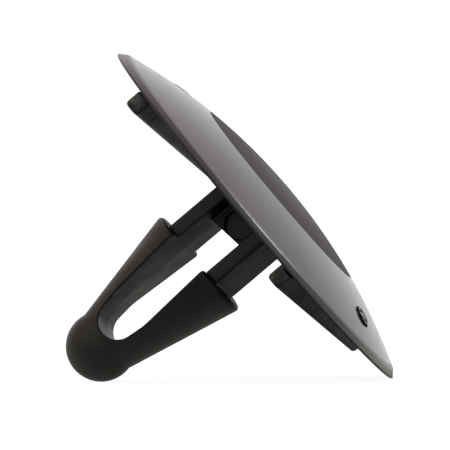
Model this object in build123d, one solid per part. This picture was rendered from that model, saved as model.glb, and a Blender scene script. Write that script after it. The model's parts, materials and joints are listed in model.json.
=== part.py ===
"""Push-in panel clip, moulded in one piece.

A shallow domed head carries two straight ribs on its underside and a split stem.
The stem is two flat rails that widen into half-round barbs and join again in a ball nose.
The clip is drawn upright on its stem axis, dome up and rim at height zero, and is then
laid down on the rim and the nose, as it comes to rest on a table.
All lengths are in millimetres.
"""
import os
from math import asin, atan2, cos, degrees, hypot, radians, sin, sqrt, tan

from build123d import *

# Head: a shallow shell with a bevelled band round its rim
head_diameter = 40.0
band_width = 0.75
band_height = 0.70
dome_rise = 3.43
head_wall = 1.50
band_edge_round = 0.18
rim_edge_chamfer = 0.08

# Two small raised pips on the dome, each a ring with a post in its middle
pip_circle_radius = 15.4
pip_angle = -10.0
pip_diameter = 2.0
pip_height = 0.18
pip_edge_chamfer = 0.05
ring_inner_diameter = 1.55
ring_depth = 0.28
post_diameter = 0.75

# Two straight ribs under the head
rib_spacing = 21.9
rib_length = 32.0
rib_thickness = 1.66
rib_depth = 1.83
rib_end_round = 0.60
rib_corner_round = 0.40

# Stem: two rails with a slot between them, as measured half way through the stem
rail_gap = 4.06
rail_thickness = 1.62
rail_width = 6.98
rail_edge_round = 0.32
slot_draft = 3.0
slot_narrowing = 8.5
slot_knee_round = 5.0
slot_end_radius = 1.78
slot_end_height = -17.71

# Web that joins the rails under the head
web_thickness = 2.4
web_bottom = -3.0
web_slope = 7.5
web_dimple_diameter = 2.9
web_dimple_depth = 0.45
web_dimple_height = -1.55

# Barbs and nose, turned about the stem axis
shoulder_height = -6.65
shoulder_diameter = 11.56
shoulder_round = 0.40
neck_height = -18.25
nose_height = -18.95
nose_diameter = 6.68
barb_edge_chamfer = 0.12

# How it lies: turned about its own stem by this much before it is laid down
roll_angle = 17.5

# Where the turned faces begin, so that a mesh of them stands on a facet and not on a corner
seam_turn = -5.95

rim_radius = head_diameter / 2
foot_radius = rim_radius - rim_edge_chamfer
band_radius = rim_radius - band_width
dome_radius = (band_radius**2 + dome_rise**2) / (2 * dome_rise)
apex_height = band_height + dome_rise
dome_centre = apex_height - dome_radius
overlap = 0.3


def dome_ball(depth):
    """Ball whose top is the dome, or lies the given depth below it, with its poles sideways."""
    return Pos(0, 0, dome_centre) * Rot(0, 90, 0) * Sphere(dome_radius - depth)


def turned(section):
    """Solid turned about the stem axis from a section drawn as radius and height."""
    return Rot(0, 0, seam_turn) * revolve(Plane.XZ * section, Axis.Z)


def round_corner(section, corner, radius):
    """Round the corner of a section that lies nearest to a point."""
    vertex = section.vertices().sort_by_distance(corner)[0]
    return fillet(vertex, radius)


def head():
    """Domed shell: the band is a cone that the ball of the dome cuts off and hollows out."""
    blank_top = apex_height + overlap
    top_radius = rim_radius - (blank_top - rim_edge_chamfer) * band_width / band_height
    outline = Polyline((0, 0), (foot_radius, 0), (rim_radius, rim_edge_chamfer),
                       (top_radius, blank_top), (0, blank_top), close=True)
    lens = turned(make_face(outline)) & dome_ball(0)
    band_edge = lens.edges().sort_by(Axis.Z)[-1]
    return fillet(band_edge, band_edge_round) - dome_ball(head_wall)


def pip():
    """Raised pip: a ring and its post, on the x axis before it is turned to its place."""
    outer = pip_diameter / 2
    inner = ring_inner_diameter / 2
    post = post_diameter / 2
    outline = Polyline((0, -head_wall), (outer, -head_wall), (outer, -pip_edge_chamfer),
                       (outer - pip_edge_chamfer, 0), (inner, 0), (inner, -ring_depth),
                       (post, -ring_depth), (post, 0), (0, 0), close=True)
    lean = degrees(asin(pip_circle_radius / dome_radius))
    top = dome_centre + sqrt(dome_radius**2 - pip_circle_radius**2) + pip_height
    return Pos(pip_circle_radius, 0, top) * Rot(0, lean, 0) * turned(make_face(outline))


def rib():
    """Straight rib with rounded ends, tall enough to reach the shell."""
    plan = RectangleRounded(rib_thickness, rib_length, rib_end_round)
    bar = extrude(plan, rib_depth + apex_height)
    lower = bar.faces().sort_by(Axis.Z)[0].edges()
    return Pos(0, 0, -rib_depth) * fillet(lower, rib_corner_round)


def rails():
    """The two rails, standing on the shoulder, each with its upright edges rounded."""
    height = apex_height - shoulder_height
    block = Box(rail_gap + 2 * rail_thickness, rail_width, height,
                align=(Align.CENTER, Align.CENTER, Align.MIN))
    pair = Pos(0, 0, shoulder_height) * block - slot()
    upright = pair.edges().filter_by(Axis.Z)
    corners = upright.filter_by(lambda edge: abs(edge.center().Y) > rail_width / 4)
    return fillet(corners, rail_edge_round)


def barbs_and_nose():
    """Cone from the shoulder down to the neck, where the ball nose begins."""
    shoulder = (shoulder_diameter / 2, shoulder_height)
    nose_radius = nose_diameter / 2
    neck_angle = degrees(asin((neck_height - nose_height) / nose_radius))
    ball = CenterArc((0, nose_height), nose_radius, -90, 90 + neck_angle)
    flank = Polyline((0, nose_height - nose_radius), (0, shoulder_height), shoulder, ball @ 1)
    section = make_face([ball, flank])
    return turned(round_corner(section, shoulder, shoulder_round))


def slotted_barbs():
    """Barbs and nose with the slot cut through them and its long edges chamfered."""
    body = barbs_and_nose() - slot()
    below = body.edges().filter_by(lambda edge: edge.center().Z < shoulder_height)
    curved = below.filter_by(GeomType.BSPLINE)
    mouth = curved.filter_by(lambda edge: abs(edge.center().Y) > rail_gap / 2)
    return chamfer(mouth, barb_edge_chamfer)


def slot():
    """Space between the rails: it narrows above its round end, and has a mould draft."""
    half_gap = rail_gap / 2
    centre = slot_end_height + slot_end_radius
    bowl = CenterArc((0, centre), slot_end_radius, 180 + slot_narrowing, 180 - 2 * slot_narrowing)
    lean = radians(slot_narrowing)
    rise = (half_gap - slot_end_radius * cos(lean)) / tan(lean)
    knee = centre - slot_end_radius * sin(lean) + rise
    sides = Polyline(bowl @ 1, (half_gap, knee), (half_gap, apex_height),
                     (-half_gap, apex_height), (-half_gap, knee), bowl @ 0)
    outline = make_face([bowl, sides])
    for side in (-1, 1):
        outline = round_corner(outline, (side * half_gap, knee), slot_knee_round)
    return extrude(Plane.XZ * outline, shoulder_diameter, both=True, taper=-slot_draft)


def web():
    """Web between the rails, with a sloping lower edge and a round dimple in each face."""
    height = apex_height - web_bottom
    plate = Box(rail_gap + rail_thickness, web_thickness, 2 * height)
    cutter = Pos(0, 0, web_bottom) * Rot(0, -web_slope, 0) * Box(
        2 * head_diameter, head_diameter, head_diameter, align=(Align.CENTER, Align.CENTER, Align.MAX))
    plate = plate - cutter
    for side in (-1, 1):
        floor = side * (web_thickness / 2 - web_dimple_depth / 2)
        dimple = Rot(90, 0, 0) * Cylinder(web_dimple_diameter / 2, web_dimple_depth)
        plate = plate - Pos(0, floor, web_dimple_height) * dimple
    return plate


def upright_clip():
    """The whole clip on its stem axis, dome up."""
    stem = rails() + slotted_barbs() + web()
    under = stem
    for side in (-1, 1):
        under = under + Pos(side * rib_spacing / 2, 0, 0) * rib()
    clip = head() + (under & dome_ball(head_wall / 2))
    for turn in (pip_angle, pip_angle + 180):
        clip = clip + Rot(0, 0, turn) * pip()
    return clip


def rest_turn():
    """Turn that brings the rim's edge and the nose down to one level."""
    drop = rim_edge_chamfer - nose_height
    reach = hypot(rim_radius, drop)
    lean = degrees(atan2(drop, rim_radius) + asin(nose_diameter / 2 / reach))
    return Rot(0, lean, 0) * Rot(0, 0, -roll_angle)


def laid_down(clip):
    """Lay the clip on its rim and nose and bring its foot to height zero."""
    resting = rest_turn() * clip
    box = resting.bounding_box()
    return Pos(-box.center().X, -box.center().Y, -box.min.Z) * resting


os.makedirs("parts", exist_ok=True)
export_step(laid_down(upright_clip()), "parts/clip_body.step")
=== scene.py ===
"""Looks of the push-in panel clip: one piece of moulded black nylon, lying on its rim and its nose.

The head's dome is polished, its middle is left matt, and the ribs and the stem are satin.
Lengths are in metres. The clip's axes come from the mounts in the frame's record.
"""
import json
import math

import bpy
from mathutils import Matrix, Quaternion, Vector

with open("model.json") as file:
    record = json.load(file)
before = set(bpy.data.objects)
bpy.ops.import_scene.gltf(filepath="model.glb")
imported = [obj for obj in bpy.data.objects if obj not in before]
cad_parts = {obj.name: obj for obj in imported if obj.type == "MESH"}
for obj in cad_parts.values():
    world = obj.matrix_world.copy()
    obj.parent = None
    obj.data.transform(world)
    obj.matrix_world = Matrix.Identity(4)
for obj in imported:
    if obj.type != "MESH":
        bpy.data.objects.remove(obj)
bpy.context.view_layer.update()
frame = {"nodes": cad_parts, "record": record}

# Directions in the room
to_right = (1.0, 0.0, 0.0)
to_back = (0.0, 1.0, 0.0)
upward = (0.0, 0.0, 1.0)

# Camera: nearly level, a long way off, and turned a little clockwise
camera_azimuth = 2.333
camera_elevation = 1.890
camera_roll = -0.790
camera_distance = 1.40
camera_near = 0.05
camera_far = 20.0
view_width = 0.04233
view_target = Vector((-0.00023, -0.00014, 0.01462))
sensor_width = 36.0

# Head: heights from the rim plane up the dome, and reaches from the stem's axis outward
rib_depth = 0.00183
head_height = (-0.0002, 0.0001)
rib_height = (-0.0002, 0.0)
rib_reach = (0.0085, 0.0095)
band_reach = (0.0186, 0.0192)
matt_height = 0.0028
matt_radius = 0.0102
matt_blur = 0.00006
height_blur = 0.0001

# Pips: a fine line round the side of each, on the outside of the dome's wall only
pip_circle_radius = 0.0154
pip_angle = -10.0
pip_radius = 0.0010
pip_line = (0.00008, 0.00012)
pip_wall_middle = 0.0011

# Nylon's colours
nylon_black = (0.0125, 0.0108, 0.0085, 1.0)
nylon_worn = (0.0165, 0.0140, 0.0112, 1.0)
nylon_matt = (0.0225, 0.0190, 0.0140, 1.0)
# Paler specks on the ribs: real dust, and a painted sheen that stands in for the floor's reflection
nylon_dust_and_sheen = (0.0700, 0.0650, 0.0600, 1.0)

# Nylon's gloss: a pair of roughnesses follows the clouds or, on the matt middle, the way outward
nylon_ior = 1.53
nylon_specular = 0.5
satin_roughness = (0.42, 0.52)
dome_roughness = (0.15, 0.18)
band_roughness = 0.32
matt_roughness = (0.62, 0.82)

# Nylon's texture: scales are in cells to the metre
noise_detail = 3.0
noise_roughness = 0.55
cloud_scale = 450.0
cloud_range = (0.3, 0.7)
# Specks on the ribs, of dust and of painted sheen
dust_and_sheen_scale = 1100.0
dust_and_sheen_range = (0.38, 0.66)
grain_scale = 9000.0
grain_depth = 0.00002
grain_strength = 0.35
dome_grain = 0.1
edge_softness = 0.0004
edge_samples = 16

# World: even light, but the clip's gloss mirrors white on the bright side and a warm dim room elsewhere
white = (1.0, 1.0, 1.0, 1.0)
room_light = 0.75
bright_side = (0.60, 0.80, 0.0)
bright_range = (-0.30, 0.80)
dim_strength = 0.36
dim_tint = (1.0, 0.88, 0.78, 1.0)
right_shade = 0.80
right_shade_range = (0.40, 0.80)
upper_tint = (1.0, 0.90, 1.0, 1.0)
upper_range = (0.25, 0.50)

# Floor: its glow where the camera sees it, and where the clip's gloss mirrors it
floor_size = 6.0
floor_colour = (0.20, 0.20, 0.20, 1.0)
floor_glow_seen = 0.92
floor_tint = (1.0, 0.975, 0.88, 1.0)
# Near the clip, the floor's mirrored glow holds a painted shadow of the clip, which is darkest in a band
near_glow = 0.30
near_range = (-0.018, 0.002)
shadow_glow = 0.05
shadow_middle = 0.0090
shadow_reach = 0.0100
right_range = (0.012, 0.035)
back_range = (0.06, 0.15)

# Lamps
lamp_distance = 1.0
dome_lamp_way = (0.72, 0.45, 0.53)
dome_lamp_size = 0.12
dome_lamp_power = 2.4
side_lamp_way = (-0.75, -0.55, 0.60)
side_lamp_size = 0.9
side_lamp_power = 0.5

# Mix node: its data type, the place of the first of its two inputs, and the place of its output
number_mix = ("FLOAT", 2, 0)
colour_mix = ("RGBA", 6, 2)


def mount(record, name):
    """The record's mount of that name."""
    return next(each for each in record["mounts"] if each["name"] == name)


def clip_axes(record):
    """Rim centre, stem direction and the way to the low rib, in the frame."""
    low = mount(record, "rib_seat_low")
    high = mount(record, "rib_seat_high")
    low_place = Vector(low["pos_m"])
    high_place = Vector(high["pos_m"])
    stem = Vector(low["axis"]).normalized()
    rim_centre = (low_place + high_place) / 2 - stem * rib_depth
    return rim_centre, stem, (low_place - high_place).normalized()


def pip_places(rim_centre, stem, rib_way):
    """A point on the axis of each pip."""
    turned = Quaternion(-stem, math.radians(pip_angle)) @ rib_way
    return [rim_centre + turned * side * pip_circle_radius for side in (-1, 1)]


def new_material(name):
    """New node material with its tree and its Principled shader."""
    material = bpy.data.materials.new(name)
    material.use_nodes = True
    tree = material.node_tree
    tree.nodes.clear()
    shader = tree.nodes.new("ShaderNodeBsdfPrincipled")
    output = tree.nodes.new("ShaderNodeOutputMaterial")
    tree.links.new(shader.outputs["BSDF"], output.inputs["Surface"])
    return material, tree, shader


def feed(tree, socket, value):
    """Link another node's output to an input, or set the input to a plain value."""
    if isinstance(value, bpy.types.NodeSocket):
        tree.links.new(value, socket)
    else:
        socket.default_value = value


def math_node(tree, operation, *values):
    """Output of a math node, from numbers or sockets."""
    node = tree.nodes.new("ShaderNodeMath")
    node.operation = operation
    for socket, value in zip(node.inputs, values):
        feed(tree, socket, value)
    return node.outputs["Value"]


def vector_node(tree, operation, *values):
    """Vector math node, from vectors or sockets."""
    node = tree.nodes.new("ShaderNodeVectorMath")
    node.operation = operation
    for socket, value in zip(node.inputs, values):
        feed(tree, socket, value)
    return node


def mix_node(tree, kind, share, first, second):
    """Output of a Mix node of one kind, between two values, by a share from 0 to 1."""
    data_type, first_input, output = kind
    node = tree.nodes.new("ShaderNodeMix")
    node.data_type = data_type
    feed(tree, node.inputs["Factor"], share)
    feed(tree, node.inputs[first_input], first)
    feed(tree, node.inputs[first_input + 1], second)
    return node.outputs[output]


def mix(tree, share, first, second):
    """Number between two, by a share from 0 to 1."""
    return mix_node(tree, number_mix, share, first, second)


def blend(tree, share, first, second):
    """Colour between two, by a share from 0 to 1."""
    return mix_node(tree, colour_mix, share, first, second)


def ramp(tree, value, low, high, at_low=0.0, at_high=1.0):
    """Smooth step from one number to another, as a value goes from low to high."""
    node = tree.nodes.new("ShaderNodeMapRange")
    node.interpolation_type = "SMOOTHSTEP"
    feed(tree, node.inputs["Value"], value)
    feed(tree, node.inputs["From Min"], low)
    feed(tree, node.inputs["From Max"], high)
    feed(tree, node.inputs["To Min"], at_low)
    feed(tree, node.inputs["To Max"], at_high)
    return node.outputs["Result"]


def border(tree, value, at, blur, below=0.0, above=1.0):
    """Smooth step at a value, blurred to each side of it."""
    return ramp(tree, value, at - blur, at + blur, below, above)


def noise(tree, place, scale):
    """Noise from 0 to 1 at a place."""
    node = tree.nodes.new("ShaderNodeTexNoise")
    feed(tree, node.inputs["Vector"], place)
    feed(tree, node.inputs["Scale"], scale)
    feed(tree, node.inputs["Detail"], noise_detail)
    feed(tree, node.inputs["Roughness"], noise_roughness)
    return node.outputs["Fac"]


def object_place(tree):
    """Place of the shaded point on its object, which is also its place in the frame."""
    return tree.nodes.new("ShaderNodeTexCoord").outputs["Object"]


def part_along(tree, place, way):
    """How far a place or a direction goes along a way."""
    return vector_node(tree, "DOT_PRODUCT", place, way).outputs["Value"]


def axis_distance(tree, place, point, way):
    """Distance of a place from the line through a point along a way."""
    offset = vector_node(tree, "SUBTRACT", place, point).outputs["Vector"]
    across = vector_node(tree, "CROSS_PRODUCT", offset, way).outputs["Vector"]
    return vector_node(tree, "LENGTH", across).outputs["Value"]


def matt_middle(tree, height, radius):
    """Mask of the matt middle of the dome."""
    above = border(tree, height, matt_height, height_blur)
    inside = border(tree, radius, matt_radius, matt_blur, 1.0, 0.0)
    return math_node(tree, "MULTIPLY", above, inside)


def rib_dust_and_sheen(tree, place, height, radius):
    """Mask of faint specks on the ribs, which are below the rim plane and away from the stem: real dust,
    and a painted sheen for the floor's reflection.
    """
    below = ramp(tree, height, *rib_height, 1.0, 0.0)
    ribs = math_node(tree, "MULTIPLY", below, ramp(tree, radius, *rib_reach))
    specks = ramp(tree, noise(tree, place, dust_and_sheen_scale), *dust_and_sheen_range)
    return math_node(tree, "MULTIPLY", ribs, specks)


def pip_lines(tree, place, height, places, stem):
    """Mask of a fine line round the side of each pip."""
    distances = [axis_distance(tree, place, point, stem) for point in places]
    distance = math_node(tree, "MINIMUM", *distances)
    off_line = math_node(tree, "ABSOLUTE", math_node(tree, "SUBTRACT", distance, pip_radius))
    outside = border(tree, height, pip_wall_middle, height_blur)
    return math_node(tree, "MULTIPLY", outside, ramp(tree, off_line, *pip_line, 1.0, 0.0))


def nylon_roughness(tree, radius, head, matt, cloud):
    """Satin on the stem and the ribs, smooth on the dome, less on its band, and rough on its middle."""
    satin = ramp(tree, cloud, *cloud_range, *satin_roughness)
    dome = ramp(tree, cloud, *cloud_range, *dome_roughness)
    polish = mix(tree, ramp(tree, radius, *band_reach), dome, band_roughness)
    eroded = ramp(tree, radius, 0.0, matt_radius, *matt_roughness)
    return mix(tree, matt, mix(tree, head, satin, polish), eroded)


def nylon_colour(tree, matt, cloud, dust_and_sheen):
    """Black that is a little paler in clouds, on the matt middle, and on the ribs' specks of dust and
    painted sheen.
    """
    clean = blend(tree, cloud, nylon_black, nylon_worn)
    return blend(tree, dust_and_sheen, blend(tree, matt, clean, nylon_matt), nylon_dust_and_sheen)


def nylon_normal(tree, place, head):
    """Normal with softened edges and a fine moulded grain, which is fainter on the head."""
    soft = tree.nodes.new("ShaderNodeBevel")
    soft.samples = edge_samples
    feed(tree, soft.inputs["Radius"], edge_softness)
    grain = math_node(tree, "MULTIPLY", noise(tree, place, grain_scale), mix(tree, head, 1.0, dome_grain))
    bump = tree.nodes.new("ShaderNodeBump")
    feed(tree, bump.inputs["Normal"], soft.outputs["Normal"])
    feed(tree, bump.inputs["Distance"], grain_depth)
    feed(tree, bump.inputs["Strength"], grain_strength)
    feed(tree, bump.inputs["Height"], grain)
    return bump.outputs["Normal"]


def black_nylon(rim_centre, stem, rib_way):
    """Black nylon: polished dome with a matt middle, satin elsewhere, with a fine moulded grain."""
    material, tree, shader = new_material("black_nylon")
    place = object_place(tree)
    from_centre = vector_node(tree, "SUBTRACT", place, rim_centre).outputs["Vector"]
    height = part_along(tree, from_centre, -stem)
    radius = axis_distance(tree, place, rim_centre, stem)
    head = ramp(tree, height, *head_height)
    matt = matt_middle(tree, height, radius)
    cloud = noise(tree, place, cloud_scale)
    # Ribs' specks: dust, and a painted sheen of the floor's reflection
    dust_and_sheen = rib_dust_and_sheen(tree, place, height, radius)
    lines = pip_lines(tree, place, height, pip_places(rim_centre, stem, rib_way), stem)
    feed(tree, shader.inputs["Base Color"], nylon_colour(tree, matt, cloud, dust_and_sheen))
    feed(tree, shader.inputs["Roughness"], nylon_roughness(tree, radius, head, matt, cloud))
    feed(tree, shader.inputs["Specular IOR Level"], mix(tree, lines, nylon_specular, 0.0))
    feed(tree, shader.inputs["IOR"], nylon_ior)
    feed(tree, shader.inputs["Normal"], nylon_normal(tree, place, head))
    return material


def looking_rays(tree):
    """Two masks: rays of the camera, and rays that a gloss or a clear thing sends on."""
    path = tree.nodes.new("ShaderNodeLightPath")
    glossy = path.outputs["Is Glossy Ray"]
    mirrored = math_node(tree, "MAXIMUM", glossy, path.outputs["Is Transmission Ray"])
    return path.outputs["Is Camera Ray"], mirrored


def mirrored_room(tree):
    """Strength and colour of the room in the clip's gloss: shaded far right, tinted overhead."""
    way = tree.nodes.new("ShaderNodeTexCoord").outputs["Generated"]
    bright = ramp(tree, part_along(tree, way, bright_side), *bright_range)
    shaded = ramp(tree, part_along(tree, way, to_right), *right_shade_range, 1.0, right_shade)
    upper = ramp(tree, part_along(tree, way, upward), *upper_range)
    strength = math_node(tree, "MULTIPLY", mix(tree, bright, dim_strength, 1.0), shaded)
    return strength, blend(tree, bright, dim_tint, blend(tree, upper, white, upper_tint))


def white_world():
    """World that is seen as white, lights the clip evenly and is mirrored as an uneven room."""
    world = bpy.data.worlds.new("white_room")
    bpy.context.scene.world = world
    world.use_nodes = True
    tree = world.node_tree
    tree.nodes.clear()
    light = tree.nodes.new("ShaderNodeBackground")
    seen, mirrored = looking_rays(tree)
    gloss, tint = mirrored_room(tree)
    feed(tree, light.inputs["Strength"], mix(tree, seen, mix(tree, mirrored, room_light, gloss), 1.0))
    feed(tree, light.inputs["Color"], blend(tree, mirrored, white, tint))
    output = tree.nodes.new("ShaderNodeOutputWorld")
    tree.links.new(light.outputs["Background"], output.inputs["Surface"])


def camera():
    """Camera at the photograph's angle."""
    turn = math.radians(camera_azimuth)
    rise = math.radians(camera_elevation)
    back = Vector((math.sin(turn) * math.cos(rise), -math.cos(turn) * math.cos(rise), math.sin(rise)))
    data = bpy.data.cameras.new("camera")
    data.sensor_width = sensor_width
    data.lens = sensor_width * camera_distance / view_width
    data.clip_start = camera_near
    data.clip_end = camera_far
    made = bpy.data.objects.new("camera", data)
    bpy.context.scene.collection.objects.link(made)
    made.location = view_target + back * camera_distance
    made.rotation_mode = "QUATERNION"
    level = (-back).to_track_quat("-Z", "Y")
    made.rotation_quaternion = level @ Quaternion((0, 0, 1), math.radians(camera_roll))
    bpy.context.scene.camera = made


def mirrored_floor(tree):
    """Glow of the floor in the clip's gloss: dark in front, white far off, and dim near the clip, where
    its shadow is painted in.
    """
    place = object_place(tree)
    rightward = part_along(tree, place, to_right)
    behind = part_along(tree, place, to_back)
    off_shadow = math_node(tree, "ABSOLUTE", math_node(tree, "SUBTRACT", rightward, shadow_middle))
    lit = ramp(tree, off_shadow, 0.0, shadow_reach, shadow_glow, near_glow)
    near = math_node(tree, "MULTIPLY", lit, ramp(tree, behind, *near_range))
    right = ramp(tree, rightward, *right_range)
    far = math_node(tree, "MAXIMUM", right, ramp(tree, behind, *back_range))
    return mix(tree, far, near, 1.0)


def floor_material():
    """Pale floor that glows where the camera sees it, so that the clip's shadow on it stays faint."""
    material, tree, shader = new_material("white_floor")
    feed(tree, shader.inputs["Base Color"], floor_colour)
    feed(tree, shader.inputs["Roughness"], 1.0)
    feed(tree, shader.inputs["Specular IOR Level"], 0.0)
    seen, mirrored = looking_rays(tree)
    gloss = math_node(tree, "MULTIPLY", mirrored, mirrored_floor(tree))
    shown = math_node(tree, "MULTIPLY", seen, floor_glow_seen)
    feed(tree, shader.inputs["Emission Strength"], math_node(tree, "ADD", gloss, shown))
    feed(tree, shader.inputs["Emission Color"], blend(tree, seen, floor_tint, white))
    return material


def floor():
    """Square floor under the clip."""
    mesh = bpy.data.meshes.new("floor")
    half = floor_size / 2
    corners = [(-half, -half, 0), (half, -half, 0), (half, half, 0), (-half, half, 0)]
    mesh.from_pydata(corners, [], [(0, 1, 2, 3)])
    mesh.materials.append(floor_material())
    made = bpy.data.objects.new("floor", mesh)
    bpy.context.scene.collection.objects.link(made)


def softbox(name, way, size, power):
    """Square lamp a lamp distance away along a direction, pointing at the clip."""
    data = bpy.data.lights.new(name, "AREA")
    data.shape = "SQUARE"
    data.size = size
    data.energy = power
    made = bpy.data.objects.new(name, data)
    bpy.context.scene.collection.objects.link(made)
    toward = Vector(way).normalized()
    made.location = view_target + toward * lamp_distance
    made.rotation_mode = "QUATERNION"
    made.rotation_quaternion = (-toward).to_track_quat("-Z", "Y")


bpy.context.scene.view_settings.view_transform = "Standard"
camera()
white_world()
floor()
softbox("dome_lamp", dome_lamp_way, dome_lamp_size, dome_lamp_power)
softbox("side_lamp", side_lamp_way, side_lamp_size, side_lamp_power)
clip = frame["nodes"]["clip_body"]
clip.data.materials.clear()
clip.data.materials.append(black_nylon(*clip_axes(frame["record"])))
